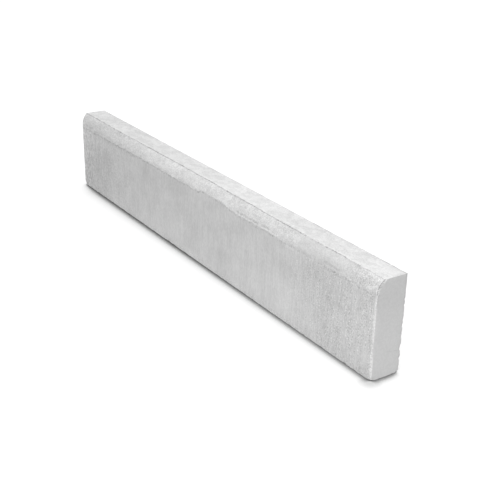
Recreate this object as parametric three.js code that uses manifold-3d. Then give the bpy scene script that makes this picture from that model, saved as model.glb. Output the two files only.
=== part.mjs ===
// Concrete edging kerb, pressed in one piece.
// Millimetres, +Z up. +X runs along the kerb, the shown face looks towards -Y.
// The origin is the middle of the bed face, so the kerb stands on Z = 0.
import * as THREE from 'three';
import { mergeVertices } from 'three/addons/utils/BufferGeometryUtils.js';
import Module from 'manifold-3d';

const wasm = await Module();
wasm.setup();

// block
const kerbLength = 915;
const kerbHeight = 150;
const kerbWidth = 50;

// rounded nose along the top of the shown face
const noseRadius = 25;
const noseSetback = 11; // from the shown face back to the seam on the crown

// seam that the nose former leaves along the crown
const seamWidth = 1.4;
const seamDepth = 1;

// small arrises
const bedArris = 0.8; // along both edges of the bed
const crownArris = 0.4; // along the back edge of the crown
const endRadius = 1.5; // upright edges at both ends of the shown face

// ledge at both ends of the nose, where the former meets the end plates
const ledgeDepth = 1.2; // how far the ledge lies behind the end face
const ledgeOnCrown = 4.5; // how far it reaches past the seam, across the crown
const ledgeOnFace = 2; // how far it reaches below the nose, down the shown face
const ledgeRadius = 90; // its inner edge is a flat arc

const noseFacets = 14; // per half of the arc
const arrisFacets = 3;
const ledgeFacets = 4;
const overrun = 5; // cutting tools reach this far past the block

const faceY = -kerbWidth / 2;
const backY = kerbWidth / 2;
const seamY = faceY + noseSetback;
const noseCentreY = faceY + noseRadius;
const noseFootZ = kerbHeight - Math.sqrt(noseRadius ** 2 - (noseRadius - noseSetback) ** 2);

const concrete = new THREE.MeshStandardMaterial({ color: 0xd2d2d1, roughness: 0.92, metalness: 0 });

// Section across the kerb: x is the kerb's Y, y is its Z.
// Bed, back, crown, seam, nose and shown face, in that order.
function kerbSection() {
  const seamFront = noseSetback - seamWidth / 2;
  const seamAngle = Math.acos((seamFront - noseRadius) / noseRadius);
  const section = new THREE.Shape();
  section.moveTo(faceY + bedArris, 0);
  section.lineTo(backY - bedArris, 0);
  section.lineTo(backY, bedArris);
  section.lineTo(backY, kerbHeight - crownArris);
  section.lineTo(backY - crownArris, kerbHeight);
  section.lineTo(seamY + seamWidth / 2, kerbHeight);
  section.lineTo(seamY, kerbHeight - seamDepth);
  section.absarc(noseCentreY, noseFootZ, noseRadius, seamAngle, Math.PI);
  section.lineTo(faceY, bedArris);
  section.closePath();
  return section;
}

// Plan of the kerb, with its two front corners rounded.
function kerbPlan() {
  const endX = kerbLength / 2;
  const plan = new THREE.Shape();
  plan.moveTo(endX, backY);
  plan.lineTo(-endX, backY);
  plan.absarc(-endX + endRadius, faceY + endRadius, endRadius, Math.PI, 1.5 * Math.PI);
  plan.absarc(endX - endRadius, faceY + endRadius, endRadius, 1.5 * Math.PI, 2 * Math.PI);
  plan.closePath();
  return plan;
}

// What the ledge takes off the end of the nose: all that lies outside its inner edge,
// a flat arc from the crown down to the shown face.
function ledgeSection() {
  const crownEnd = new THREE.Vector2(seamY + ledgeOnCrown, kerbHeight);
  const faceEnd = new THREE.Vector2(faceY, noseFootZ - ledgeOnFace);
  const middle = crownEnd.clone().add(faceEnd).multiplyScalar(0.5);
  const halfChord = crownEnd.distanceTo(faceEnd) / 2;
  const inward = new THREE.Vector2(crownEnd.y - faceEnd.y, faceEnd.x - crownEnd.x).normalize();
  const centre = middle.addScaledVector(inward, Math.sqrt(ledgeRadius ** 2 - halfChord ** 2));
  const startAngle = Math.atan2(crownEnd.y - centre.y, crownEnd.x - centre.x);
  const endAngle = Math.atan2(faceEnd.y - centre.y, faceEnd.x - centre.x);
  const section = new THREE.Shape();
  section.moveTo(faceY - overrun, kerbHeight + overrun);
  section.lineTo(crownEnd.x, kerbHeight + overrun);
  section.absarc(centre.x, centre.y, ledgeRadius, startAngle, endAngle);
  section.lineTo(faceY - overrun, faceEnd.y);
  section.closePath();
  return section;
}

function extrude(shape, depth, curveSegments) {
  return new THREE.ExtrudeGeometry(shape, { depth, steps: 1, bevelEnabled: false, curveSegments });
}

// A section drawn in Y and Z, drawn out along X from startX.
function alongKerb(shape, startX, depth, curveSegments) {
  const geometry = extrude(shape, depth, curveSegments);
  const turn = new THREE.Matrix4().makeBasis(
    new THREE.Vector3(0, 1, 0),
    new THREE.Vector3(0, 0, 1),
    new THREE.Vector3(1, 0, 0),
  );
  geometry.applyMatrix4(turn);
  geometry.translate(startX, 0, 0);
  return geometry;
}

function toSolid(geometry) {
  geometry.deleteAttribute('normal');
  geometry.deleteAttribute('uv');
  const merged = mergeVertices(geometry);
  const vertProperties = new Float32Array(merged.attributes.position.array);
  const triVerts = new Uint32Array(merged.index.array);
  return new wasm.Manifold(new wasm.Mesh({ numProp: 3, vertProperties, triVerts }));
}

function toGeometry(solid) {
  const mesh = solid.getMesh();
  const geometry = new THREE.BufferGeometry();
  geometry.setAttribute('position', new THREE.BufferAttribute(mesh.vertProperties, 3));
  geometry.setIndex(new THREE.BufferAttribute(mesh.triVerts, 1));
  geometry.computeVertexNormals();
  return geometry;
}

function kerbStone() {
  const bar = toSolid(alongKerb(kerbSection(), -kerbLength / 2, kerbLength, noseFacets));
  const planGeometry = extrude(kerbPlan(), kerbHeight + 2 * overrun, arrisFacets);
  planGeometry.translate(0, 0, -overrun);
  let kerb = bar.intersect(toSolid(planGeometry));
  const ledgeStarts = [-kerbLength / 2 - overrun, kerbLength / 2 - ledgeDepth];
  for (const startX of ledgeStarts) {
    const tool = alongKerb(ledgeSection(), startX, ledgeDepth + overrun, ledgeFacets);
    kerb = kerb.subtract(toSolid(tool));
  }
  return toGeometry(kerb);
}

const kerb = new THREE.Group();
const kerbMesh = new THREE.Mesh(kerbStone(), concrete);
kerbMesh.name = 'kerb_stone';
kerb.add(kerbMesh);

export default kerb;
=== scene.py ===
import math

import bmesh
import bpy
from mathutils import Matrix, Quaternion, Vector


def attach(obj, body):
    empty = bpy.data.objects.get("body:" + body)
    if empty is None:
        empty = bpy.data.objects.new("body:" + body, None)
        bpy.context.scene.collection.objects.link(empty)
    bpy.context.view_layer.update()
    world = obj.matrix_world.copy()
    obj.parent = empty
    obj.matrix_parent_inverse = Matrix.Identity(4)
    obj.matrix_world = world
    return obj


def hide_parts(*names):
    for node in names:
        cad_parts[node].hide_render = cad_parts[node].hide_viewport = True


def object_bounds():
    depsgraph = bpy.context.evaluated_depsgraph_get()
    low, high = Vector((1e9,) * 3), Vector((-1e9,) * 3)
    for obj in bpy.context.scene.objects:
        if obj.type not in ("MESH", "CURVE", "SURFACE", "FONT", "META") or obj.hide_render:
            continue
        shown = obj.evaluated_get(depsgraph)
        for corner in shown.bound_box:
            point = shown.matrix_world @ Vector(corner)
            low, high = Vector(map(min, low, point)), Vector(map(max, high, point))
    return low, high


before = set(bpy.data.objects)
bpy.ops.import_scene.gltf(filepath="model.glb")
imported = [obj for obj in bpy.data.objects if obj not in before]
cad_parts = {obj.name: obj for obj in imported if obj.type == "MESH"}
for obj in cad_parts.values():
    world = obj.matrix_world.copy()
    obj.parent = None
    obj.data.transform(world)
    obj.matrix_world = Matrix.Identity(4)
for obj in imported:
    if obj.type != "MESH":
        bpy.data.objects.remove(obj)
cadLow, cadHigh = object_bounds()
mm = 0.001
print("frame loaded")

kerb = {
    "noseRadius": 25 * mm,
    "noseSetback": 11 * mm,  # from the shown face back to the seam
    "noseSteps": 18,
    "seamWidth": 1.4 * mm,
    "seamDepth": 1.0 * mm,
    "bedArris": 0.8 * mm,
    "crownArris": 0.4 * mm,
    "endRadius": 1.5 * mm,
    "endRadiusSteps": 3,
    "endBedArris": 0.6 * mm,  # along the foot of each butt end
    "ledgeDepth": 1.2 * mm,
    "ledgeOnCrown": 4.5 * mm,
    "ledgeOnFace": 2 * mm,
    "ledgeStep": 1.1 * mm,  # height of the nose's end above the ledge
    "ledgeStepMost": 0.8,  # share of the nose's bulge that the step may take
    "ledgeFlatten": 0.2,  # share of the nose's bulge left where the ledge meets the butt end
    "gridStep": 2.2 * mm,
    "endZone": 16 * mm,  # finer grid near both ends
    "endCuts": 8,
    "mostlyAlong": 0.98,  # share of an edge's length along x that counts as running along the kerb
    "lengthCuts": 13,  # made twice over, so 14 x 14 cells in each half
    "rimZone": 5 * mm,  # cells cut in three beside the upright back corners
    "tolerance": 0.02 * mm,
    "smoothAngle": 32,  # degrees
}
kerb["seamY"] = cadLow.y + kerb["noseSetback"]
noseShort = kerb["noseRadius"] - kerb["noseSetback"]  # the arc's centre lies this far behind the seam
kerb["noseFootZ"] = cadHigh.z - math.sqrt(kerb["noseRadius"] ** 2 - noseShort ** 2)


def deselectAll():
    bpy.ops.object.select_all(action="DESELECT")


def pick(piece, edgeTest=None, vertTest=None, faceTest=None, openOnly=False):
    # selects by place in edit mode, and says how many were found
    mesh = bmesh.from_edit_mesh(piece.data)
    for item in [*mesh.verts, *mesh.edges, *mesh.faces]:
        item.select_set(False)
    found = 0
    for item in mesh.edges if edgeTest else []:
        isOpen = len(item.link_faces) == 1
        if edgeTest(item.verts[0].co, item.verts[1].co) and (isOpen or not openOnly):
            item.select_set(True)
            found += 1
    for item in mesh.verts if vertTest else []:
        if vertTest(item.co):
            item.select_set(True)
            found += 1
    for item in mesh.faces if faceTest else []:
        if faceTest(item.calc_center_median(), item.normal):
            item.select_set(True)
            found += 1
    bmesh.update_edit_mesh(piece.data)
    return found


def mergeDoubles():
    bpy.ops.mesh.select_all(action="SELECT")
    bpy.ops.mesh.remove_doubles(threshold=kerb["tolerance"] / 2)


def moveToLine(piece, start, end, newGap):
    # the chosen corners come in towards the line from start to end, across the block only
    mesh = bmesh.from_edit_mesh(piece.data)
    along = (end - start).normalized()
    for vert in mesh.verts:
        if vert.select:
            onLine = start + along * (vert.co - start).dot(along)
            onLine.x = vert.co.x
            gap = vert.co - onLine
            vert.co = onLine + gap.normalized() * newGap(gap.length)
    bmesh.update_edit_mesh(piece.data)


def cutAcross(piece, at, normal, faceTest):
    if pick(piece, faceTest=faceTest):
        bpy.ops.mesh.bisect(plane_co=at, plane_no=normal, threshold=kerb["tolerance"])


def pull(x=0.0, y=0.0, z=0.0):
    bpy.ops.mesh.extrude_region_move(TRANSFORM_OT_translate={"value": (x, y, z)})


def near(a, b):
    return abs(a - b) < kerb["tolerance"]


def levels(low, high, step):
    count = max(1, round((high - low) / step))
    return [low + (high - low) * i / count for i in range(1, count)]


def alongKerb(a, b):
    step = b - a
    return abs(step.x) > kerb["mostlyAlong"] * step.length


def drawSection():
    # a bed strip first, then every face of the section is pulled out of the one before
    faceY, backY, endX, topZ = cadLow.y, cadHigh.y, cadHigh.x, cadHigh.z
    seamY, noseFootZ = kerb["seamY"], kerb["noseFootZ"]
    radius, seamHalf = kerb["noseRadius"], kerb["seamWidth"] / 2
    arris, crownArris = kerb["bedArris"], kerb["crownArris"]
    bedEdge = faceY + arris
    deselectAll()
    bpy.ops.mesh.primitive_plane_add(size=1, location=(0, 0, 0))
    piece = bpy.context.object
    piece.name = "kerb_body"
    bpy.ops.object.mode_set(mode="EDIT")
    bpy.ops.mesh.select_mode(type="EDGE")
    bpy.ops.transform.resize(value=(endX, backY - faceY - 2 * arris, 1))
    bpy.ops.transform.translate(value=(endX / 2, 0, 0))
    pick(piece, edgeTest=lambda a, b: near(a.y, bedEdge) and near(b.y, bedEdge))
    pull(y=-arris, z=arris)
    pull(z=noseFootZ - kerb["ledgeOnFace"] - arris)
    pull(z=kerb["ledgeOnFace"])
    sweep = math.pi - math.acos((seamY - faceY - seamHalf - radius) / radius)
    bpy.ops.mesh.spin(steps=kerb["noseSteps"], angle=sweep, axis=(1, 0, 0),
                      center=(0, faceY + radius, noseFootZ))
    pull(y=seamHalf, z=topZ - kerb["seamDepth"] - noseFootZ - radius * math.sin(sweep))
    pull(y=seamHalf, z=kerb["seamDepth"])
    pull(y=kerb["ledgeOnCrown"] - seamHalf)
    pull(y=backY - crownArris - seamY - kerb["ledgeOnCrown"])
    pull(y=crownArris, z=-crownArris)
    pull(z=crownArris + arris - topZ)
    pull(y=-arris, z=-arris)
    mergeDoubles()
    return piece


def cutLedge(piece):
    # the end of the nose goes back, and a slope comes up from it to a flatter arc
    endX = cadHigh.x
    ledgeX = endX - kerb["ledgeDepth"]
    foot = Vector((endX, cadLow.y, kerb["noseFootZ"] - kerb["ledgeOnFace"]))
    top = Vector((endX, kerb["seamY"] + kerb["ledgeOnCrown"], cadHigh.z))

    def isTip(co):
        return min((co - foot).length, (co - top).length) < kerb["tolerance"]

    def onLedge(co):
        return near(co.x, ledgeX) or isTip(co)

    pick(piece, vertTest=lambda co: near(co.x, endX) and co.z > foot.z and co.y < top.y and not isTip(co))
    bpy.ops.transform.translate(value=(-kerb["ledgeDepth"], 0, 0))
    pick(piece, edgeTest=lambda a, b: onLedge(a) and onLedge(b))
    pull()
    step, most, flatten = kerb["ledgeStep"], kerb["ledgeStepMost"], kerb["ledgeFlatten"]
    moveToLine(piece, foot, top, lambda gap: gap - min(step, most * gap))
    pull()
    moveToLine(piece, foot, top, lambda gap: gap * flatten)
    bpy.ops.transform.resize(value=(0, 1, 1), center_override=top)
    mergeDoubles()


def closeEnd(piece):
    faceY, endX = cadLow.y, cadHigh.x
    pick(piece, edgeTest=lambda a, b: near(a.x, endX) and near(b.x, endX), openOnly=True)
    bpy.ops.mesh.edge_face_add()
    bpy.ops.mesh.select_all(action="SELECT")
    bpy.ops.mesh.normals_make_consistent(inside=False)

    def isUprightArris(a, b):
        onEnd = near(a.x, endX) and near(b.x, endX)
        upright = near(a.y, faceY) and near(b.y, faceY)
        cornerCut = min(a.z, b.z) < kerb["tolerance"] and min(a.y, b.y) < faceY + kerb["bedArris"] / 2
        return onEnd and (upright or cornerCut)

    pick(piece, edgeTest=isUprightArris)
    bpy.ops.mesh.bevel(offset=kerb["endRadius"], segments=kerb["endRadiusSteps"], affect="EDGES",
                       clamp_overlap=False)
    behindCorner = faceY + kerb["endRadius"] - kerb["tolerance"]
    pick(piece, edgeTest=lambda a, b: near(a.x, endX) and near(b.x, endX)
         and max(a.z, b.z) < kerb["tolerance"] and min(a.y, b.y) > behindCorner)
    bpy.ops.mesh.bevel(offset=kerb["endBedArris"], segments=2, affect="EDGES", clamp_overlap=False)


def ruleGrid(piece):
    # even lines up the faces, then across the crown, the bed and the butt end
    arris, crownArris, step = kerb["bedArris"], kerb["crownArris"], kerb["gridStep"]
    ledgeFootZ = kerb["noseFootZ"] - kerb["ledgeOnFace"]
    ledgeTopY = kerb["seamY"] + kerb["ledgeOnCrown"]
    for z in levels(arris, ledgeFootZ, step):
        cutAcross(piece, (0, 0, z), (0, 0, 1), lambda at, normal: True)
    for z in levels(ledgeFootZ, cadHigh.z - crownArris, step):
        cutAcross(piece, (0, 0, z), (0, 0, 1), lambda at, normal: normal.y > 0.5 or normal.x > 0.5)
    for y in levels(ledgeTopY, cadHigh.y - crownArris, step):
        cutAcross(piece, (0, y, 0), (0, 1, 0), lambda at, normal: abs(normal.y) < 0.5)
    for y in levels(cadLow.y + kerb["endRadius"], ledgeTopY, step):
        cutAcross(piece, (0, y, 0), (0, 1, 0), lambda at, normal: normal.z < -0.5 or normal.x > 0.5)


def makeWhole(piece):
    # the other half, then grid lines along the length
    otherHalf = piece.modifiers.new("otherHalf", "MIRROR")
    otherHalf.use_axis = (True, False, False)
    otherHalf.merge_threshold = kerb["tolerance"] / 2
    bpy.ops.object.modifier_apply(modifier=otherHalf.name)
    bpy.ops.object.mode_set(mode="EDIT")
    mergeDoubles()
    zoneX = cadHigh.x - kerb["endZone"]
    for x in (-zoneX, zoneX):
        cutAcross(piece, (x, 0, 0), (1, 0, 0), lambda at, normal: True)
    inRun = zoneX + kerb["tolerance"]
    for cuts in (kerb["lengthCuts"], kerb["lengthCuts"]):
        pick(piece, edgeTest=lambda a, b: alongKerb(a, b) and max(abs(a.x), abs(b.x)) < inRun)
        bpy.ops.mesh.subdivide(number_cuts=cuts)
    inEndZone = zoneX - kerb["tolerance"]
    pick(piece, edgeTest=lambda a, b: alongKerb(a, b) and min(abs(a.x), abs(b.x)) > inEndZone
         and abs(a.x - b.x) > kerb["gridStep"])
    bpy.ops.mesh.subdivide(number_cuts=kerb["endCuts"])
    rimX, rimY = cadHigh.x - kerb["rimZone"], cadHigh.y - kerb["rimZone"]
    pick(piece, faceTest=lambda at, normal: abs(at.x) > rimX and at.y > rimY and abs(normal.z) < 0.5)
    bpy.ops.mesh.subdivide(number_cuts=2)
    bpy.ops.mesh.select_all(action="SELECT")
    bpy.ops.mesh.normals_make_consistent(inside=False)
    bpy.ops.object.mode_set(mode="OBJECT")


def pressKerb():
    piece = drawSection()
    cutLedge(piece)
    closeEnd(piece)
    ruleGrid(piece)
    bpy.ops.object.mode_set(mode="OBJECT")
    makeWhole(piece)
    print("kerb pressed:", len(piece.data.polygons), "faces")
    return piece


kerbBody = pressKerb()

# Each layer pushes the skin inwards: its greatest depth, the size of its lumps in mm along x, y and z,
# the octaves of its noise, how hard its lumps stand out, and how much of the skin it covers.
relief = {
    "openBack": [
        {"depth": 0.8 * mm, "size": (26, 26, 20), "octaves": 2, "contrast": 2.2, "cover": 0.45},
        {"depth": 1.0 * mm, "size": (6, 6, 5), "octaves": 2, "contrast": 3.0, "cover": 0.35},
        {"depth": 1.4 * mm, "size": (3.5, 3.5, 3.5), "octaves": 0, "contrast": 5.0, "cover": -0.6},
    ],
    "noseSkin": [
        {"depth": 0.35 * mm, "size": (10, 8, 8), "octaves": 1, "contrast": 2.5, "cover": 0.4},
        {"depth": 0.3 * mm, "size": (4, 4, 4), "octaves": 0, "contrast": 3.0, "cover": 0.2},
    ],
    "crownSkin": [
        {"depth": 0.2 * mm, "size": (26, 12, 26), "octaves": 2, "contrast": 2.0, "cover": 0.5},
    ],
    "faceSkin": [
        {"depth": 0.2 * mm, "size": (10, 40, 80), "octaves": 1, "contrast": 2.0, "cover": 0.5},
    ],
    "noseFoot": [
        {"depth": 0.5 * mm, "size": (14, 14, 5), "octaves": 1, "contrast": 3.5, "cover": 0.3},
    ],
    "edges": [
        {"depth": 0.7 * mm, "size": (4, 4, 4), "octaves": 1, "contrast": 4.0, "cover": 0.15},
        {"depth": 1.4 * mm, "size": (9, 9, 8), "octaves": 1, "contrast": 5.0, "cover": -0.35},
    ],
}
# small teeth along the upright back corners, pushed square to each skin
rimTeeth = [
    {"depth": 1.1 * mm, "size": (5, 5, 7), "octaves": 1, "contrast": 5.5, "cover": -0.3},
    {"depth": 0.8 * mm, "size": (2.6, 2.6, 3.4), "octaves": 1, "contrast": 5.0, "cover": -0.15},
]
# where the near corner still stands whole, in mm: height, then reach up and down
rimStands = ((27, 4), (50, 5), (66, 5), (77, 3), (86, 5), (95, 6), (107, 4), (118, 7), (138, 9), (148, 6))
seam = {
    # how far the seam strays across the crown, in mm: place along the kerb, then the shift
    "drift": ((-457, -1.2), (-350, -1.4), (-230, 0), (-190, 1.1), (-40, 1.8), (160, 0.8), (250, -0.8),
              (385, 1.4), (457, 0.4)),
    "sway": {"depth": 1.5 * mm, "size": (48, 4000, 4000), "octaves": 3, "contrast": 1.6, "cover": 0.5},
    "jitter": {"depth": 1.6 * mm, "size": (10, 4000, 4000), "octaves": 1, "contrast": 1.6, "cover": 0.5},
    "fill": {"depth": -0.6 * mm, "size": (13, 4000, 4000), "octaves": 2, "contrast": 5.0, "cover": -0.05},
}
# corners and edges knocked off in handling: where, how far the skin goes in, how wide
knocks = [
    {"at": (cadHigh.x, cadLow.y, 0), "by": (-0.8, 0.5, 1.1), "reach": 9},
    {"at": (cadHigh.x, cadHigh.y, 0), "by": (-0.5, -2.4, 1.1), "reach": 4.5},
    {"at": (cadLow.x, cadLow.y, 0), "by": (2.2, 0.9, 2.0), "reach": 9},
    {"at": (cadLow.x, cadHigh.y, 0), "by": (1.4, -1.2, 2.0), "reach": 8},
    {"at": (-0.12, cadHigh.y, 0), "by": (0.0, -1.6, 1.4), "reach": 7},
]
# nicks up the near back corner, in mm: height, how far in along x and y, how wide
nicks = ((9, 0.2, 0.4, 3.5), (20, 0.2, 0.5, 4), (39, 0.3, 1.1, 5), (55, 0.2, 0.6, 3.5), (73, 0.2, 0.5, 3.5),
         (103, 0.3, 0.6, 3), (112, 0.2, 0.5, 3))
for height, inX, inY, reach in nicks:
    knocks.append({"at": (cadHigh.x, cadHigh.y, height * mm), "by": (-inX, -inY, 0.0), "reach": reach})


# Where the wear is found, in mm. A pair is where a share starts to change and where it's full or gone.
wear = {
    "backDeep": (0.2, 1.2),  # the open grain goes this deep under the back
    "backWide": (0, 7),  # and bites this far into the skins beside it
    "backBeside": 0.35,  # share of the grain there
    "backEnd": (0, 9),  # the grain grows over this stretch from each butt end
    "backEndLeast": 0.2,
    "backTop": (-3, 14),  # and over this one from the top
    "besideSeam": (1, 4),  # the nose and the crown are smooth this close to the seam
    "footBelow": 1.5,  # the rough foot of the nose lies this far below its edge
    "footReach": (1, 5),
    "footDeep": 3,
    "edgeReach": (0.5, 4.5),
    "edges": {"back": 0.8, "bed": 0.4, "end": 0.15, "shown": 0.15},  # wear is greatest along the open back
    "edgePairs": {("back", "end"): 0.08, ("back", "shown"): 0.1},
    "rimReach": (0.5, 4),
    "rimTop": (2, 14),
    "rimCalm": (45, 100),  # from here to here below the top the teeth grow to their full height
    "rimLeast": 0.25,
    "rimSideways": 0.7,  # share of the teeth's depth that goes into the butt end
    "standWhole": 0.4,  # share of a stand's reach where nothing is broken
    "seamReach": (1.5, 9),  # how far the skin beside the seam follows its wander
    "jitterReach": (1, 3),
    "seamClosing": (6, 3),  # the seam closes up over this stretch before each end
}
noiseShift = Vector((0.37, 0.73, 0.51))
noiseSeeds = {"sway": 3, "jitter": 4, "fill": 5, "layers": 7, "rims": 40, "nearRim": 50, "farRim": 60}


def fade(value, start, end):
    share = min(1.0, max(0.0, (value - start) / (end - start)))
    return share * share * (3 - 2 * share)


def skinDistances(co):
    # how deep a corner lies under the shown skin, the back, the bed and the nearer butt end
    if co.z < kerb["noseFootZ"]:
        shown = co.y - cadLow.y
    elif co.y < kerb["seamY"]:
        radius = kerb["noseRadius"]
        shown = radius - math.hypot(co.y - cadLow.y - radius, co.z - kerb["noseFootZ"])
    else:
        shown = cadHigh.z - co.z
    return {"shown": shown, "back": cadHigh.y - co.y, "bed": co.z, "end": cadHigh.x - abs(co.x)}


def toSeam(co):
    return math.hypot(co.y - kerb["seamY"], co.z - cadHigh.z) / mm


def openBackShare(co):
    depth, fromEnd, underTop = (cadHigh.y - co.y) / mm, (cadHigh.x - abs(co.x)) / mm, (cadHigh.z - co.z) / mm
    onBack = 1 - fade(depth, *wear["backDeep"])
    beside = wear["backBeside"] * (1 - fade(depth, *wear["backWide"]))
    atEnd = wear["backEndLeast"] * (1 - standing(co))
    alongBack = atEnd + (1 - atEnd) * fade(fromEnd, *wear["backEnd"])
    return max(onBack, beside) * alongBack * fade(underTop, *wear["backTop"])


def noseShare(co):
    isNose = co.z > kerb["noseFootZ"] and co.y < kerb["seamY"]
    return fade(toSeam(co), *wear["besideSeam"]) if isNose else 0.0


def crownShare(co):
    isCrown = co.y > kerb["seamY"] and co.z > cadHigh.z - 2 * kerb["crownArris"]
    return fade(toSeam(co), *wear["besideSeam"]) if isCrown else 0.0


def faceShare(co):
    return 1.0 if near(co.y, cadLow.y) and co.z < kerb["noseFootZ"] else 0.0


def noseFootShare(co):
    if co.y > cadLow.y + wear["footDeep"] * mm:
        return 0.0
    away = abs((co.z - kerb["noseFootZ"]) / mm + wear["footBelow"])
    return 1 - fade(away, *wear["footReach"])


def edgeShare(co):
    # the two nearest skins say how hard the edge between them is worn
    nearest = sorted((gap, name) for name, gap in skinDistances(co).items())[:2]
    pair = tuple(sorted(name for gap, name in nearest))
    strength = wear["edgePairs"].get(pair, max(wear["edges"][name] for name in pair))
    return strength * (1 - fade(nearest[1][0] / mm, *wear["edgeReach"]))


def rimShare(co):
    # the upright back corners, where the open back breaks off in small teeth
    gaps = skinDistances(co)
    underTop = (cadHigh.z - co.z) / mm
    height = wear["rimLeast"] + (1 - wear["rimLeast"]) * fade(underTop, *wear["rimCalm"])
    broken = 1 - fade(max(gaps["back"], gaps["end"]) / mm, *wear["rimReach"])
    return broken * height * fade(underTop, *wear["rimTop"]) * (1 - standing(co))


def standing(co):
    if co.x < 0:
        return 0.0
    whole = wear["standWhole"]
    return max(1 - fade(abs(co.z / mm - height), whole * reach, reach) for height, reach in rimStands)


def nearRimShare(co):
    return rimShare(co) if co.x > 0 else 0.0


def farRimShare(co):
    return rimShare(co) if co.x < 0 else 0.0


def seamReachShare(co):
    return 1 - fade(toSeam(co), *wear["seamReach"])


def seamJitterShare(co):
    return 1 - fade(toSeam(co), *wear["jitterReach"])


def seamClosing(co):
    return fade((cadHigh.x - abs(co.x)) / mm, *wear["seamClosing"])


def onSeamFloor(co):
    return near(co.y, kerb["seamY"]) and co.z < cadHigh.z - kerb["seamDepth"] / 2


def seamFloorShare(co):
    return 1 - seamClosing(co) if onSeamFloor(co) else 0.0


def weigh(piece, name, share):
    group = piece.vertex_groups.new(name=name)
    for vert in piece.data.vertices:
        weight = share(vert.co)
        if weight > 0:
            group.add([vert.index], weight, "REPLACE")


def pushSkin(piece, groupName, layer, seed, direction="NORMAL", middle=0.0):
    # a noise pushes the group's corners; an empty carries the size and place of the noise
    texture = bpy.data.textures.new(groupName, "CLOUDS")
    texture.noise_scale = 1.0
    texture.use_clamp = True
    texture.noise_depth = layer["octaves"]
    texture.contrast = layer["contrast"]
    texture.intensity = layer["cover"] + 0.5
    sizer = bpy.data.objects.new("grainSizer", None)
    bpy.context.scene.collection.objects.link(sizer)
    sizer.scale = [size * mm for size in layer["size"]]
    sizer.location = noiseShift * seed
    push = piece.modifiers.new(groupName, "DISPLACE")
    push.texture = texture
    push.texture_coords = "OBJECT"
    push.texture_coords_object = sizer
    push.vertex_group = groupName
    push.direction = direction
    push.mid_level = middle
    push.strength = -layer["depth"]
    bpy.context.view_layer.update()
    bpy.ops.object.modifier_apply(modifier=push.name)
    bpy.data.objects.remove(sizer)
    bpy.data.textures.remove(texture)


def keepRestPlace(piece):
    # each corner remembers its place in the plain block, which the finish reads
    rest = piece.data.attributes.new("restPlace", "FLOAT_VECTOR", "POINT")
    for vert, value in zip(piece.data.vertices, rest.data):
        value.vector = vert.co


def seamDrift(x):
    for (startX, start), (endX, end) in zip(seam["drift"], seam["drift"][1:]):
        if x <= endX * mm:
            return (start + (end - start) * fade(x, startX * mm, endX * mm)) * mm
    return seam["drift"][-1][1] * mm


def driftSeam(piece):
    for vert in piece.data.vertices:
        vert.co.y += seamDrift(vert.co.x) * seamReachShare(vert.co)


def closeSeamEnds(piece):
    # the floor of the seam comes up level with the crown near each end
    for vert in piece.data.vertices:
        if onSeamFloor(vert.co):
            vert.co.z += kerb["seamDepth"] * seamClosing(vert.co)


def knockCorners(piece):
    bpy.ops.object.mode_set(mode="EDIT")
    bpy.ops.mesh.select_mode(type="VERT")
    for knock in knocks:
        spot = Vector(knock["at"])
        mesh = bmesh.from_edit_mesh(piece.data)
        nearestVert = min(mesh.verts, key=lambda vert: (vert.co - spot).length)
        closest = nearestVert.co.copy()
        pick(piece, vertTest=lambda co: (co - closest).length < kerb["tolerance"])
        bpy.ops.transform.translate(value=[step * mm for step in knock["by"]], use_proportional_edit=True,
                                    proportional_edit_falloff="SMOOTH", proportional_size=knock["reach"] * mm)
    bpy.ops.object.mode_set(mode="OBJECT")


def keepInBox(piece):
    for vert in piece.data.vertices:
        vert.co = [min(high, max(low, value)) for low, value, high in zip(cadLow, vert.co, cadHigh)]


def weatherKerb(piece):
    deselectAll()
    piece.select_set(True)
    bpy.context.view_layer.objects.active = piece
    keepRestPlace(piece)
    shares = {
        "openBack": openBackShare, "noseSkin": noseShare, "crownSkin": crownShare, "faceSkin": faceShare,
        "noseFoot": noseFootShare, "edges": edgeShare, "seamReach": seamReachShare,
        "seamJitter": seamJitterShare, "seamFloor": seamFloorShare,
        "rims": rimShare, "nearRim": nearRimShare, "farRim": farRimShare,
    }
    for name, share in shares.items():
        weigh(piece, name, share)
    closeSeamEnds(piece)
    driftSeam(piece)
    pushSkin(piece, "seamReach", seam["sway"], noiseSeeds["sway"], direction="Y", middle=0.5)
    pushSkin(piece, "seamJitter", seam["jitter"], noiseSeeds["jitter"], direction="Y", middle=0.5)
    pushSkin(piece, "seamFloor", seam["fill"], noiseSeeds["fill"], direction="Z")
    layers = [(name, layer) for name in relief for layer in relief[name]]
    layers.sort(key=lambda item: -min(item[1]["size"]))  # the broadest lumps first
    for seed, (name, layer) in enumerate(layers):
        pushSkin(piece, name, layer, noiseSeeds["layers"] + seed)
    for seed, layer in enumerate(rimTeeth):
        pushSkin(piece, "rims", layer, noiseSeeds["rims"] + seed, direction="Y")
        sideDepth = wear["rimSideways"] * layer["depth"]
        pushSkin(piece, "nearRim", {**layer, "depth": sideDepth}, noiseSeeds["nearRim"] + seed, direction="X")
        pushSkin(piece, "farRim", {**layer, "depth": -sideDepth}, noiseSeeds["farRim"] + seed, direction="X")
    knockCorners(piece)
    keepInBox(piece)
    piece.vertex_groups.clear()
    bpy.ops.object.shade_smooth_by_angle(angle=math.radians(kerb["smoothAngle"]))
    print("skin weathered")


weatherKerb(kerbBody)

camera = {
    "lens": 68.0,
    "place": (1.2734, -0.7775, 0.6719),
    "aim": (0.1234, 0.0, 0.0626),
    "roll": 1.324,  # degrees
}


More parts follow.
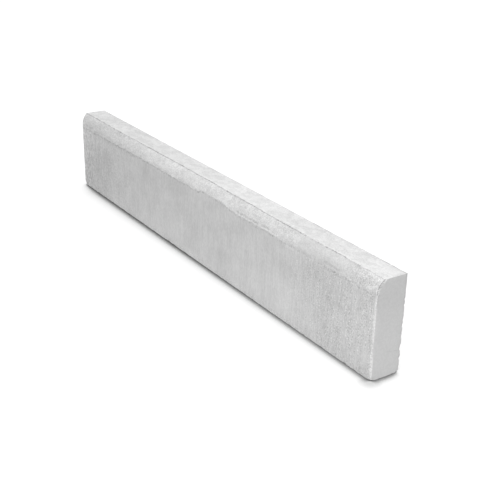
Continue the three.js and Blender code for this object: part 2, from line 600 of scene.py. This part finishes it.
def placeCamera():
    bpy.ops.object.camera_add(location=camera["place"])
    view = bpy.context.object
    view.name = "viewCamera"
    view.data.lens = camera["lens"]
    aim = (Vector(camera["aim"]) - Vector(camera["place"])).to_track_quat("-Z", "Y")
    view.rotation_mode = "QUATERNION"
    view.rotation_quaternion = aim @ Quaternion((0, 0, 1), math.radians(camera["roll"]))
    bpy.context.scene.camera = view
    print("camera placed")


placeCamera()


def feed(tree, value, socket):
    if isinstance(value, bpy.types.NodeSocket):
        tree.links.new(value, socket)
    else:
        socket.default_value = value


def calc(tree, operation, *values, clamp=False):
    node = tree.nodes.new("ShaderNodeMath")
    node.operation = operation
    node.use_clamp = clamp
    for socket, value in zip(node.inputs, values):
        feed(tree, value, socket)
    return node.outputs[0]


def fold(tree, operation, values):
    result = values[0]
    for value in values[1:]:
        result = calc(tree, operation, result, value)
    return result


def vectorCalc(tree, operation, *values):
    node = tree.nodes.new("ShaderNodeVectorMath")
    node.operation = operation
    for socket, value in zip(node.inputs, values):
        feed(tree, value, socket)
    return node.outputs["Value" if operation == "DISTANCE" else "Vector"]


def blend(tree, low, high, share):
    node = tree.nodes.new("ShaderNodeMix")
    node.data_type = "FLOAT"
    feed(tree, share, node.inputs["Factor"])
    feed(tree, low, node.inputs["A"])
    feed(tree, high, node.inputs["B"])
    return node.outputs["Result"]


def easeOver(tree, value, start, end, toStart=0.0, toEnd=1.0):
    node = tree.nodes.new("ShaderNodeMapRange")
    node.interpolation_type = "SMOOTHSTEP"
    feed(tree, value, node.inputs["Value"])
    feed(tree, start, node.inputs["From Min"])
    feed(tree, end, node.inputs["From Max"])
    feed(tree, toStart, node.inputs["To Min"])
    feed(tree, toEnd, node.inputs["To Max"])
    return node.outputs["Result"]


studio = {
    "floorSize": 60.0,
    "floorSeen": 0.45,
    "floorGlow": 0.62,  # added to what is seen, so that open floor is plain white
    "floorBounce": 0.22,  # colour that lights the kerb from below
    "contactColor": (0.055, 0.17),  # share of the floor's light left against the kerb, at the span's ends
    "contactSpan": (-0.1, 0.45),  # along x
    "contactSamples": 16,
    "contactReach": 30.7 * mm,
    "contactSpread": -0.0154,  # the reach grows by this share of x, so towards the far end
    "contactLean": (-0.25, 0.18, 1.0),  # most of the light missed comes from behind
    "contactOpen": (0.446, 0.711),  # openness right against the kerb, and where its dark core ends
    "contactCore": 0.47,  # both powers are below 1, so the shadow clears quickly away from the kerb
    "contactTail": 0.22,
    "contactSpots": [  # round these spots the reach grows or shrinks by a share
        {"at": (-0.459, -0.027, 0), "radius": 0.07, "by": -0.6},
        {"at": (0.464, -0.033, 0), "radius": 0.024, "by": 1.9},
        {"at": (0.459, -0.02, 0), "radius": 0.05, "by": 0.1},
    ],
    # painted shadow on the floor, darker round the near corner
    "contactCornerShadow": {"at": (0.46, -0.028, 0), "radius": 0.02, "by": -0.24},  # darker round the near corner
    "skyStrength": 1.0,
    "lampPlace": (1.25, -1.15, 0.95),
    "lampAim": (0.3, 0, 0.08),
    "lampSize": 0.7,
    "lampPower": 11.0,
}


def aimAt(lamp, place, target):
    lamp.location = place
    lamp.rotation_mode = "QUATERNION"
    lamp.rotation_quaternion = (Vector(target) - Vector(place)).to_track_quat("-Z", "Y")


def backdropRays(tree):
    # camera, glossy and transmission rays see the plain white backdrop
    path = tree.nodes.new("ShaderNodeLightPath")
    rays = path.outputs["Is Camera Ray"]
    for kind in ("Is Glossy Ray", "Is Transmission Ray"):
        rays = calc(tree, "ADD", rays, path.outputs[kind], clamp=True)
    return rays


def changeRound(tree, place, spot):
    # a factor that is 1 outside the spot
    away = vectorCalc(tree, "DISTANCE", place, spot["at"])
    return easeOver(tree, away, 0.0, spot["radius"], 1 + spot["by"], 1.0)


def paintFloor():
    paint = bpy.data.materials.new("floorPaint")
    paint.use_nodes = True
    tree = paint.node_tree
    shader = tree.nodes["Principled BSDF"]
    shader.inputs["Roughness"].default_value = 1.0
    shader.inputs["Specular IOR Level"].default_value = 0.0
    shader.inputs["Emission Color"].default_value = (1, 1, 1, 1)
    place = tree.nodes.new("ShaderNodeTexCoord").outputs["Object"]
    axes = tree.nodes.new("ShaderNodeSeparateXYZ")
    feed(tree, place, axes.inputs[0])
    reach = calc(tree, "MULTIPLY_ADD", axes.outputs["X"], studio["contactSpread"], studio["contactReach"])
    for spot in studio["contactSpots"]:
        reach = calc(tree, "MULTIPLY", reach, changeRound(tree, place, spot))
    # painted contact shadow: an ambient occlusion darkens the floor's colour and glow near the kerb
    contact = tree.nodes.new("ShaderNodeAmbientOcclusion")
    contact.samples = studio["contactSamples"]
    feed(tree, reach, contact.inputs["Distance"])
    feed(tree, vectorCalc(tree, "NORMALIZE", studio["contactLean"]), contact.inputs["Normal"])
    wall, coreEnd = studio["contactOpen"]
    core = calc(tree, "POWER", easeOver(tree, contact.outputs["AO"], wall, coreEnd), studio["contactCore"])
    tail = calc(tree, "DIVIDE", calc(tree, "SUBTRACT", contact.outputs["AO"], wall), 1 - wall, clamp=True)
    clear = calc(tree, "MULTIPLY", core, calc(tree, "POWER", tail, studio["contactTail"]))
    darkest = easeOver(tree, axes.outputs["X"], *studio["contactSpan"], *studio["contactColor"])
    shade = calc(tree, "MULTIPLY_ADD", clear, calc(tree, "SUBTRACT", 1.0, darkest), darkest)
    shade = calc(tree, "MULTIPLY", shade, changeRound(tree, place, studio["contactCornerShadow"]))
    rays = backdropRays(tree)
    seen = blend(tree, studio["floorBounce"], calc(tree, "MULTIPLY", shade, studio["floorSeen"]), rays)
    feed(tree, seen, shader.inputs["Base Color"])
    glow = calc(tree, "MULTIPLY", shade, studio["floorGlow"])
    feed(tree, calc(tree, "MULTIPLY", rays, glow), shader.inputs["Emission Strength"])
    return paint


def lightWorld():
    world = bpy.data.worlds.new("studioWorld")
    bpy.context.scene.world = world
    world.use_nodes = True
    tree = world.node_tree
    nodes, links = tree.nodes, tree.links
    nodes.clear()
    output = nodes.new("ShaderNodeOutputWorld")
    lit = nodes.new("ShaderNodeBackground")
    lit.inputs["Strength"].default_value = studio["skyStrength"]
    backdrop = nodes.new("ShaderNodeBackground")
    backdrop.inputs["Strength"].default_value = 1.0
    for light in (lit, backdrop):
        light.inputs["Color"].default_value = (1, 1, 1, 1)
    mix = nodes.new("ShaderNodeMixShader")
    links.new(backdropRays(tree), mix.inputs[0])
    links.new(lit.outputs[0], mix.inputs[1])
    links.new(backdrop.outputs[0], mix.inputs[2])
    links.new(mix.outputs[0], output.inputs[0])


def buildStudio():
    deselectAll()
    bpy.ops.mesh.primitive_plane_add(size=studio["floorSize"], location=(0, 0, 0))
    floor = bpy.context.object
    floor.name = "studio_floor"
    floor.data.materials.append(paintFloor())
    bpy.ops.object.light_add(type="AREA")
    lamp = bpy.context.object
    lamp.name = "sideLamp"
    lamp.data.size = studio["lampSize"]
    lamp.data.energy = studio["lampPower"]
    aimAt(lamp, studio["lampPlace"], studio["lampAim"])
    lightWorld()
    bpy.context.scene.view_settings.view_transform = "Standard"
    print("studio built")


buildStudio()

noseHeight = (cadHigh.z - kerb["noseFootZ"]) / mm

# Finish of the concrete. Sizes are in mm. A grain has the size of its spots along x, y and z, the octaves of
# its noise, where its mask starts and ends, and the tone that it adds where the mask is full. A wash is a
# soft patch: its middle along x and up the skin, its half sizes, and the tone that it adds at its middle.
# Stains are the same along x and y. A mark adds its tone where all that it names is full. A band has a
# middle, a half width and a soft edge. A ramp starts at one place and is full at the next, and may say
# between which shares it goes. Stretches are bands along x that add up, each with its share. A change makes
# the mark stronger or fainter in a band. Spots break it up: their size, octaves, where their mask starts and
# ends, and seed. measureSkin gives the ways that all this is measured along.
finish = {
    "color": (0.66, 0.66, 0.66),
    "roughness": 0.94,
    "specular": 0.3,
    "skinSeedStep": 11.0,
    "grainSeedStep": 3.7,
    "sandSize": (1.3, 1.3, 1.3),
    "sandHeight": 0.1,
    "face": {
        "tone": 0.985,
        "grains": [
            ((14, 300, 90), 2, 0.4, 0.6, 0.03),
            ((3.4, 300, 22), 2, 0.4, 0.62, 0.05),
            ((1.5, 300, 5), 1, 0.42, 0.62, 0.08),
            ((50, 300, 36), 3, 0.38, 0.62, 0.06),
        ],
        # the broad pale washes low on the face are painted light, evening out the shade near the floor
        "washes": [
            (-400, 50, 110, 80, -0.05),
            (-362, 80, 60, 26, -0.06),
            (-440, 12, 60, 26, -0.06),
            (-120, 20, 240, 50, 0.05),
            (250, 45, 75, 48, 0.06),
            (290, 100, 60, 22, -0.03),
            (350, 96, 70, 40, -0.04),
            (-190, 10, 95, 28, 0.035),
            (150, 8, 210, 38, 0.045),
            (-90, 108, 90, 26, -0.025),
            (420, 60, 60, 80, 0.01),
            (447, 26, 18, 46, 0.06),
            (449, 122, 6, 8, -0.06),
            (-452, 92, 14, 48, 0.05),
            (-405, 92, 50, 22, 0.03),
            (-300, 12, 50, 18, 0.035),
            (-190, 10, 70, 22, 0.035),
            (-190, 116, 60, 20, -0.035),
            (-85, 46, 80, 56, 0.035),
            (140, 42, 75, 62, 0.045),
            (248, 30, 60, 44, 0.045),
            (348, 90, 50, 22, -0.035),
            (385, 10, 90, 22, -0.05),
            (392, 102, 56, 30, -0.02),
            (441, 6, 18, 12, -0.09),
            (-24, 7, 32, 12, 0.07),
            (432, 93, 16, 16, -0.06),
            (398, 118, 28, 9, -0.06),
            (-440, 103, 18, 18, 0.06),
            (408, 63, 18, 18, -0.055),
            (304, 7, 22, 11, -0.055),
        ],
        "marks": [
            # a broken dark line under the nose that is painted shadow of its foot, scuffs below it in the
            # left third, and chips
            {"add": -0.15, "bands": [("aboveFoot", -1.6, 0.6, 1.6)], "changes": [("x", 302, 42, 16, -0.75)],
             "spots": ((7, 300, 4), 2, 0.46, 0.58, 83)},
            {"add": -0.12, "bands": [("aboveFoot", -3, 2, 3)],
             "ramps": [("x", -195, -235), ("x", -375, -335)],
             "spots": ((10, 300, 7), 3, 0.44, 0.58, 97)},
            {"add": -0.16, "bands": [("aboveFoot", -2.4, 1, 1.8)],
             "spots": ((4, 300, 3.4), 1, 0.53, 0.62, 179)},
            # specks, streaks and dust towards the far end, and streaks towards the near one
            {"add": 0.28, "ramps": [("x", -350, -445)], "spots": ((3.6, 300, 9), 2, 0.4, 0.6, 139),
             "between": (-0.45, 0.55)},
            {"add": 0.07, "ramps": [("x", -300, -400)], "spots": ((9, 300, 34), 2, 0.4, 0.6, 140),
             "between": (-0.45, 0.55)},
            {"add": 0.13, "ramps": [("x", -190, -310)], "spots": ((3.4, 300, 4), 2, 0.4, 0.6, 141),
             "between": (-0.45, 0.55)},
            {"add": 0.08, "ramps": [("x", 180, 330)], "spots": ((2.2, 300, 26), 2, 0.4, 0.6, 142),
             "between": (-0.45, 0.55)},
        ],
    },
    "nose": {
        "tone": 1.0,
        "calm": (335, 45, 25, 0.45),  # stretch near the right end with less grain: a band and what it loses
        "grains": [
            ((34, 34, 20), 2, 0.4, 0.6, 0.05),
            ((8, 6, 6), 2, 0.42, 0.62, 0.08),
            ((1.9, 1.8, 1.8), 1, 0.42, 0.6, 0.2),
        ],
        "washes": [
            (-440, 138, 90, 40, -0.1),
            (-300, 138, 130, 40, -0.065),
            (330, 138, 150, 40, -0.1),
            (165, 139, 60, 14, -0.05),
            (432, 136, 50, 14, -0.1),
            (-412, 148, 50, 9, 0.08),
            (-300, 148, 60, 10, -0.05),
            (345, 134, 50, 10, -0.05),
            (258, 141, 34, 8, 0.06),
            (426, 137, 14, 7, -0.05),
            (150, 141, 90, 24, -0.02),
            (285, 141, 70, 24, -0.015),
            (106, 148, 18, 5, -0.08),
            (400, 134, 16, 7, 0.08),
            (436, 134, 14, 7, 0.08),
            (160, 132, 16, 6, 0.08),
            (172, 146, 16, 6, 0.08),
            (250, 146, 22, 6, -0.08),
            (400, 148, 18, 5, -0.08),
            (-26, 148, 18, 5, 0.06),
            (214, 141, 18, 7, 0.06),
        ],
        "marks": [
            {"add": 0.12, "ramps": [("underTop", 3, noseHeight)]},  # paler towards its foot
        ],
    },
    "crown": {
        "tone": 1.035,
        "grains": [
            ((60, 30, 60), 2, 0.4, 0.6, 0.06),
            ((16, 13, 16), 3, 0.42, 0.58, 0.1),
            ((2.6, 2.6, 2.6), 1, 0.4, 0.62, 0.11),
        ],
        "washes": [
            (-340, 150, 160, 30, -0.03),
            (-190, 150, 80, 30, -0.02),
            (100, 150, 140, 30, 0.045),
            (395, 150, 70, 30, 0.015),
            (290, 150, 80, 30, -0.028),
        ],
        "stains": [
            (389, 18, 16, 8, -0.13),
            (341, -2, 16, 8, 0.09),
            (329, 14, 14, 8, 0.09),
            (77, 18, 26, 8, 0.08),
            (293, -2, 18, 8, -0.08),
            (239, -6, 16, 8, 0.07),
            (-109, -2, 22, 10, -0.06),
            (-265, 18, 26, 8, -0.06),
        ],
        "marks": [
            # a pale lip beside the seam, a dark rim along the back that is painted shade where the crown
            # turns down, and chips in it
            {"add": 0.06, "ramps": [("fromSeam", 9, 3)], "spots": ((9, 9, 9), 2, 0.38, 0.62, 181)},
            {"add": -0.2, "ramps": [("fromBack", 2.2, 1.2), ("x", 320, 370, 1.0, 1.9)],
             "spots": ((16, 300, 300), 2, 0.42, 0.58, 167)},
            {"add": -0.28, "ramps": [("fromBack", 3.4, 1.6)], "spots": ((5, 300, 300), 1, 0.3, 0.5, 173),
             "stretches": [(416, 6, 2.5, 1), (433, 1, 2, 1), (271, 13, 4, 0.5)]},
        ],
    },
    "end": {
        "tone": 1.005,
        "grains": [
            ((30, 22, 30), 2, 0.4, 0.6, 0.02),
            ((3.4, 3.4, 3.4), 2, 0.4, 0.62, 0.045),
        ],
        "washes": [
            (457, 140, 60, 42, -0.05),
            (457, 10, 60, 100, 0.04),
        ],
        "marks": [
            # a thin dark line down each butt end, beside the back, and a faint one across the near end
            {"add": -0.1, "bands": [("fromBack", 1.5, 0.5, 1.1)], "changes": [("z", 40, 1.2, 1.5, 1.8)],
             "spots": ((300, 300, 6), 2, 0.34, 0.54, 193)},
            {"add": -0.065, "bands": [("upSlope", 39.2, 0.6, 1.1)], "ramps": [("y", -5, 2), ("x", 0, 1)],
             "spots": ((300, 9, 300), 1, 0.3, 0.5, 197)},
        ],
    },
    "back": {
        "tone": 0.98,
        "grains": [
            ((40, 40, 40), 2, 0.4, 0.6, 0.06),
            ((6, 6, 6), 2, 0.4, 0.62, 0.14),
            ((2.2, 2.2, 2.2), 1, 0.4, 0.62, 0.12),
        ],
        "washes": [],
        "marks": [],
    },
    "slope": 0.19,  # tilt of the faint line across the near end
    # lines that wander: the way that each is measured along, its place there, and what moves it
    "courses": {
        "aboveFoot": {"way": "overFoot", "at": -1.6, "moves": [  # where the nose starts
            {"add": 4.6, "ramps": [("x", 2, 12), ("x", 110, 70)]},
            {"add": -3.8, "ramps": [("x", -225, -380)]},
            {"add": -0.8, "bands": [("x", -180, 90, 50)]},
            {"add": 1.5, "bands": [("x", 300, 30, 20)]},
            {"add": 2.2, "spots": ((15, 300, 300), 4, 0.27, 0.73, 71)},
        ]},
        "overZigzag": {"way": "overFoot", "at": -11, "moves": [
            {"add": 14, "spots": ((11, 300, 300), 1, 0.3, 0.7, 157)},
        ]},
        "fromPaleArris": {"way": "fromEnd", "at": 3.4, "moves": [
            {"add": 1.6, "spots": ((300, 300, 4), 2, 0.3, 0.7, 149)},
        ]},
        "roundPaleArris": {"way": "fromFace", "at": 1.6, "moves": [{"add": -1.5, "ramps": [("z", 26, 40)]}]},
    },
    # how far the nose and the face run into one another: more towards both ends, and round x 300
    "melt": {"least": 0.5, "moves": [
        {"add": 5.5, "ramps": [("x", 405, 440)]},
        {"add": 5, "ramps": [("x", -370, -440)]},
        {"add": 2.5, "bands": [("x", 300, 30, 20)]},
    ]},
    "borders": {  # a ramp to each of the other skins, laid over one another in this order
        "crown": ("fromSeam", -0.2, 0.4),
        "back": ("fromBack", 0.6, 0.1),
        "end": ("fromEnd", 0.3, 0.05),
    },
    "footMarks": [
        # short grooves in the nose and dark lines under it, all painted shade, a pale burr with a painted
        # highlight along it, and a pale zigzag near the far end
        {"add": -0.22, "bands": [("aboveFoot", 4.7, 0.9, 1.6)], "spots": ((7, 300, 300), 2, 0.32, 0.52, 101),
         "stretches": [(165, 36, 14, 1), (374, 30, 6, 0.6)]},
        {"add": -0.077, "bands": [("aboveFoot", -4.2, 1.2, 1.6), ("x", 366, 18, 8)],
         "spots": ((12, 300, 300), 2, 0.3, 0.5, 171)},
        {"add": -0.11, "bands": [("aboveFoot", -2.6, 1.4, 2), ("x", -420, 18, 14)]},
        {"add": 0.1, "bands": [("aboveFoot", 2, 0.7, 1), ("x", 175, 55, 12)],
         "spots": ((6, 300, 300), 2, 0.36, 0.5, 103)},
        {"add": 0.2, "bands": [("overZigzag", 0, 0.8, 1.8)], "ramps": [("x", -380, -400)],
         "spots": ((7, 300, 7), 1, 0.3, 0.5, 163)},
    ],
    # pale and dark specks in upright rows towards the right end, and all along the bed edge
    "specks": {
        "along": (190, 390),
        "overBed": (4, 16, 0.8, 0.0),
        "rows": ((2.6, 300, 70), 1, 0.36, 0.54, 113),
        "marks": [
            {"add": 0.34, "spots": ((1.5, 300, 2.5), 1, 0.53, 0.64, 107)},
            {"add": -0.3, "spots": ((1.5, 300, 2.5), 1, 0.53, 0.64, 109)},
        ],
        "upNose": (398, 425, 0.0, 0.6),  # the share that goes up the nose near the right end
    },
    "edgeMarks": [
        # dark spots beside the near upright corner, and both upright corners paler
        {"add": -0.07, "bands": [("fromEnd", 9, 1.2, 2)], "ramps": [("fromFace", 2, 1), ("x", 0, 1)],
         "spots": ((3, 300, 4), 1, 0.44, 0.56, 151)},
        {"add": 0.19, "ramps": [("fromPaleArris", 1.2, -2.4), ("roundPaleArris", 0.6, 0), ("overFoot", 4, -6)]},
        # the ledge darkened with painted shade in its recess, broken bits at its foot, and a thin line of
        # painted shadow below them, just round the corner
        {"add": -0.34, "bands": [("fromEnd", kerb["ledgeDepth"] / mm, 0.05, 0.1)],
         "ramps": [("fromSeam", 4, 3), ("overFoot", -3, 0)]},
        {"add": -0.1, "bands": [("overFoot", 2.5, 2.5, 3)], "ramps": [("fromFace", 6, 4), ("fromEnd", 8, 6)],
         "spots": ((2.6, 2.6, 2.6), 1, 0.5, 0.6, 191)},
        {"add": -0.09, "bands": [("fromFace", 1.6, 0.7, 0.9), ("z", 120, 7, 5)],
         "ramps": [("fromEnd", 0.3, 0.05)]},
        # the dark seam, faint in places, and the dots in it: dirt and painted shade in the groove
        {"add": -0.33, "bands": [("fromSeam", 0, 0.5, 0.6)], "ramps": [("underTop", 4, 2), ("fromEnd", 3, 5)],
         "changes": [("x", -305, 60, 23, -0.4), ("x", 288, 8, 5.67, -1), ("x", 322, 24, 11, -0.45),
                     ("x", 400, 12, 7, -0.55), ("x", 440, 24, 11, -0.55)],
         "spots": ((5, 300, 300), 2, 0.4, 0.6, 127), "between": (0.5, 1.0)},
        {"add": -0.28, "bands": [("fromSeam", 0, 0.6, 0.9)], "spots": ((3, 300, 300), 1, 0.53, 0.6, 131),
         "ramps": [("underTop", 4, 2), ("fromEnd", 3, 5), ("x", 395, 425, 1.0, 0.4)]},
    ],
}


def newGroup(name, inputs, outputs):
    tree = bpy.data.node_groups.new(name, "ShaderNodeTree")
    for socketName, kind, value in inputs:
        socket = tree.interface.new_socket(socketName, in_out="INPUT", socket_type=kind)
        socket.default_value = value
    for socketName in outputs:
        tree.interface.new_socket(socketName, in_out="OUTPUT", socket_type="NodeSocketFloat")
    return tree, tree.nodes.new("NodeGroupInput").outputs, tree.nodes.new("NodeGroupOutput").inputs


def useGroup(tree, group, **inputs):
    node = tree.nodes.new("ShaderNodeGroup")
    node.node_tree = group
    for name, value in inputs.items():
        feed(tree, value, node.inputs[name])
    return node.outputs


def buildGrain():
    # one noise with its own size along each axis, and a soft mask of it
    tree, given, out = newGroup("concreteGrain", (
        ("Place", "NodeSocketVector", (0, 0, 0)), ("Size", "NodeSocketVector", (5, 5, 5)),
        ("Octaves", "NodeSocketFloat", 2.0), ("From", "NodeSocketFloat", 0.4), ("To", "NodeSocketFloat", 0.6),
        ("Seed", "NodeSocketFloat", 0.0),
    ), ("Mask", "Value"))
    shrunk = vectorCalc(tree, "DIVIDE", given["Place"], given["Size"])
    noise = tree.nodes.new("ShaderNodeTexNoise")
    noise.inputs["Scale"].default_value = 1.0
    noise.inputs["Roughness"].default_value = 0.55
    feed(tree, vectorCalc(tree, "ADD", shrunk, given["Seed"]), noise.inputs["Vector"])
    feed(tree, given["Octaves"], noise.inputs["Detail"])
    feed(tree, easeOver(tree, noise.outputs["Fac"], given["From"], given["To"]), out["Mask"])
    feed(tree, noise.outputs["Fac"], out["Value"])
    return tree


def spotMask(tree, grain, ways, size, octaves, start, full, seed):
    return useGroup(tree, grain, Place=ways["place"], Size=size, Octaves=octaves,
                    From=start, To=full, Seed=seed)["Mask"]


def addGrains(tree, grain, ways, tone, grains, seed):
    # each grain lightens where its mask is full and darkens where it is empty
    for *spots, add in grains:
        tone = calc(tree, "MULTIPLY_ADD", spotMask(tree, grain, ways, *spots, seed), add, tone)
        tone = calc(tree, "SUBTRACT", tone, add / 2)
        seed += finish["grainSeedStep"]
    return tone


def addWashes(tree, along, across, tone, washes):
    for middleAlong, middleAcross, halfAlong, halfAcross, add in washes:
        outAlong = calc(tree, "DIVIDE", calc(tree, "SUBTRACT", along, middleAlong), halfAlong)
        outAcross = calc(tree, "DIVIDE", calc(tree, "SUBTRACT", across, middleAcross), halfAcross)
        away = calc(tree, "MULTIPLY_ADD", outAlong, outAlong, calc(tree, "MULTIPLY", outAcross, outAcross))
        tone = calc(tree, "MULTIPLY_ADD", easeOver(tree, away, 0.0, 1.0, 1.0, 0.0), add, tone)
    return tone


def line(tree, value, middle, half, soft):
    # 1 within half of the middle, gone over the next soft
    away = calc(tree, "ABSOLUTE", calc(tree, "SUBTRACT", value, middle))
    return easeOver(tree, away, half, half + soft, 1.0, 0.0)


def addMarks(tree, grain, ways, tone, marks):
    for mark in marks:
        shares = [line(tree, ways[way], *band) for way, *band in mark.get("bands", [])]
        shares += [easeOver(tree, ways[way], *ramp) for way, *ramp in mark.get("ramps", [])]
        for way, *band, change in mark.get("changes", []):
            shares.append(calc(tree, "MULTIPLY_ADD", line(tree, ways[way], *band), change, 1.0))
        if "stretches" in mark:
            stretches = [(line(tree, ways["x"], *band), part) for *band, part in mark["stretches"]]
            shares.append(fold(tree, "ADD", [calc(tree, "MULTIPLY", band, part) for band, part in stretches]))
        if "spots" in mark:
            low, high = mark.get("between", (0.0, 1.0))
            mask = spotMask(tree, grain, ways, *mark["spots"])
            shares.append(calc(tree, "MULTIPLY_ADD", mask, high - low, low))
        tone = calc(tree, "MULTIPLY_ADD", fold(tree, "MULTIPLY", shares), mark["add"], tone)
    return tone


def measureSkin(tree, grain):
    # the place in the plain block, and how far it is from each edge, in mm
    rest = tree.nodes.new("ShaderNodeAttribute")
    rest.attribute_name = "restPlace"
    place = vectorCalc(tree, "MULTIPLY", rest.outputs["Vector"], (1 / mm, 1 / mm, 1 / mm))
    axes = tree.nodes.new("ShaderNodeSeparateXYZ")
    feed(tree, place, axes.inputs[0])
    x, y, z = axes.outputs
    ways = {
        "place": place,
        "x": x,
        "y": y,
        "z": z,
        "fromEnd": calc(tree, "SUBTRACT", cadHigh.x / mm, calc(tree, "ABSOLUTE", x)),
        "fromFace": calc(tree, "SUBTRACT", y, cadLow.y / mm),
        "fromSeam": calc(tree, "SUBTRACT", y, kerb["seamY"] / mm),
        "fromBack": calc(tree, "SUBTRACT", cadHigh.y / mm, y),
        "overFoot": calc(tree, "SUBTRACT", z, kerb["noseFootZ"] / mm),
        "underTop": calc(tree, "SUBTRACT", cadHigh.z / mm, z),
        "upSlope": calc(tree, "MULTIPLY_ADD", y, finish["slope"], z),
    }
    for name, course in finish["courses"].items():
        moved = addMarks(tree, grain, ways, course["at"], course["moves"])
        ways[name] = calc(tree, "SUBTRACT", ways[course["way"]], moved)
    return ways


def mixSpecks(tree, grain, ways):
    specks = finish["specks"]
    alongFace = easeOver(tree, ways["x"], *specks["along"])
    zone = calc(tree, "MAXIMUM", alongFace, easeOver(tree, ways["z"], *specks["overBed"]))
    both = addMarks(tree, grain, ways, 0.0, specks["marks"])
    return fold(tree, "MULTIPLY", [both, zone, spotMask(tree, grain, ways, *specks["rows"])])


def mixTones(tree, grain, ways):
    # a tone for each skin of the kerb, before they are joined
    tones = {}
    for seed, name in enumerate(("face", "nose", "crown", "end", "back")):
        look = finish[name]
        tone = addGrains(tree, grain, ways, look["tone"], look["grains"], finish["skinSeedStep"] * seed)
        if "calm" in look:
            *band, lost = look["calm"]
            tone = blend(tree, tone, look["tone"], calc(tree, "MULTIPLY", line(tree, ways["x"], *band), lost))
        tone = addWashes(tree, ways["x"], ways["z"], tone, look["washes"])
        tone = addWashes(tree, ways["x"], ways["y"], tone, look.get("stains", []))
        tones[name] = addMarks(tree, grain, ways, tone, look["marks"])
    specks = mixSpecks(tree, grain, ways)
    tones["face"] = calc(tree, "ADD", tones["face"], specks)
    upNose = easeOver(tree, ways["x"], *finish["specks"]["upNose"])
    tones["nose"] = calc(tree, "MULTIPLY_ADD", specks, upNose, tones["nose"])
    return tones


def joinTones(tree, grain, ways, tones):
    melt = addMarks(tree, grain, ways, finish["melt"]["least"], finish["melt"]["moves"])
    isNose = easeOver(tree, ways["aboveFoot"], calc(tree, "MULTIPLY", melt, -1.0), melt)
    tone = blend(tree, tones["face"], tones["nose"], isNose)
    tone = addMarks(tree, grain, ways, tone, finish["footMarks"])
    for name, (way, start, full) in finish["borders"].items():
        tone = blend(tree, tone, tones[name], easeOver(tree, ways[way], start, full))
    return addMarks(tree, grain, ways, tone, finish["edgeMarks"])


def finishConcrete():
    material = bpy.data.materials.new("pressedConcrete")
    material.use_nodes = True
    tree = material.node_tree
    shader = tree.nodes["Principled BSDF"]
    grain = buildGrain()
    ways = measureSkin(tree, grain)
    tone = joinTones(tree, grain, ways, mixTones(tree, grain, ways))
    feed(tree, vectorCalc(tree, "MULTIPLY", finish["color"], tone), shader.inputs["Base Color"])
    shader.inputs["Roughness"].default_value = finish["roughness"]
    shader.inputs["Specular IOR Level"].default_value = finish["specular"]
    sand = useGroup(tree, grain, Place=ways["place"], Size=finish["sandSize"], From=0.0, To=1.0)["Value"]
    bump = tree.nodes.new("ShaderNodeBump")
    bump.inputs["Strength"].default_value = 1.0
    bump.inputs["Distance"].default_value = mm
    feed(tree, calc(tree, "MULTIPLY", sand, finish["sandHeight"]), bump.inputs["Height"])
    feed(tree, bump.outputs["Normal"], shader.inputs["Normal"])
    print("concrete mixed")
    return material


kerbBody.data.materials.append(finishConcrete())

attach(kerbBody, "root")
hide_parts("kerb_stone")
